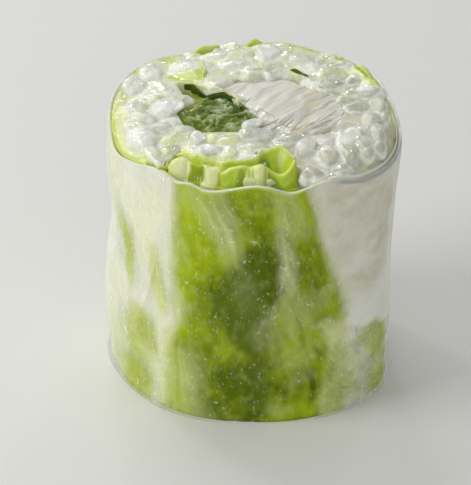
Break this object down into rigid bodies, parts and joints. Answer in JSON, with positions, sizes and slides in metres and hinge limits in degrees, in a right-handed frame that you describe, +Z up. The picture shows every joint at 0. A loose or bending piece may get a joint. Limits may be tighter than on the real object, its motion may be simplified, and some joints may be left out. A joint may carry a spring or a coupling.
{
  "type": "sliced rice paper roll",
  "caption": "Upright slice of a rice paper roll: clear paper skin round lettuce, packed rice, a pale flaked filling and fresh herbs, cut flat at both ends.",
  "frame": {"origin": "middle of the whole slice's box, on the flat cut foot", "axes": "+Z up along the roll, from the cut foot to the cut top; -Y is the front, where the ruffled lettuce stands inside the rim; +X to the right"},
  "size_m": [0.0506, 0.0496, 0.0487],
  "materials": {
    "rice_paper": "thin moist translucent film, satin",
    "lettuce": "crisp leaf, moist satin, yellow-green with pale ribs",
    "cooked_rice": "cooked short grains, translucent white, wet gloss",
    "pale_filling": "soft torn flesh, cream, moist",
    "herbs": "wet crumpled leaves, dark green"
  },
  "bodies": {
    "root": {"rice_paper": "rice_paper", "lettuce_wrap": "lettuce", "lettuce_frill": "lettuce", "rice": "cooked_rice", "pale_filling": "pale_filling", "herb_bundle": "herbs", "herb_leaf_dark": "herbs", "herb_leaf_back": "herbs", "lettuce_shred": "lettuce"}
  },
  "joints": []
}
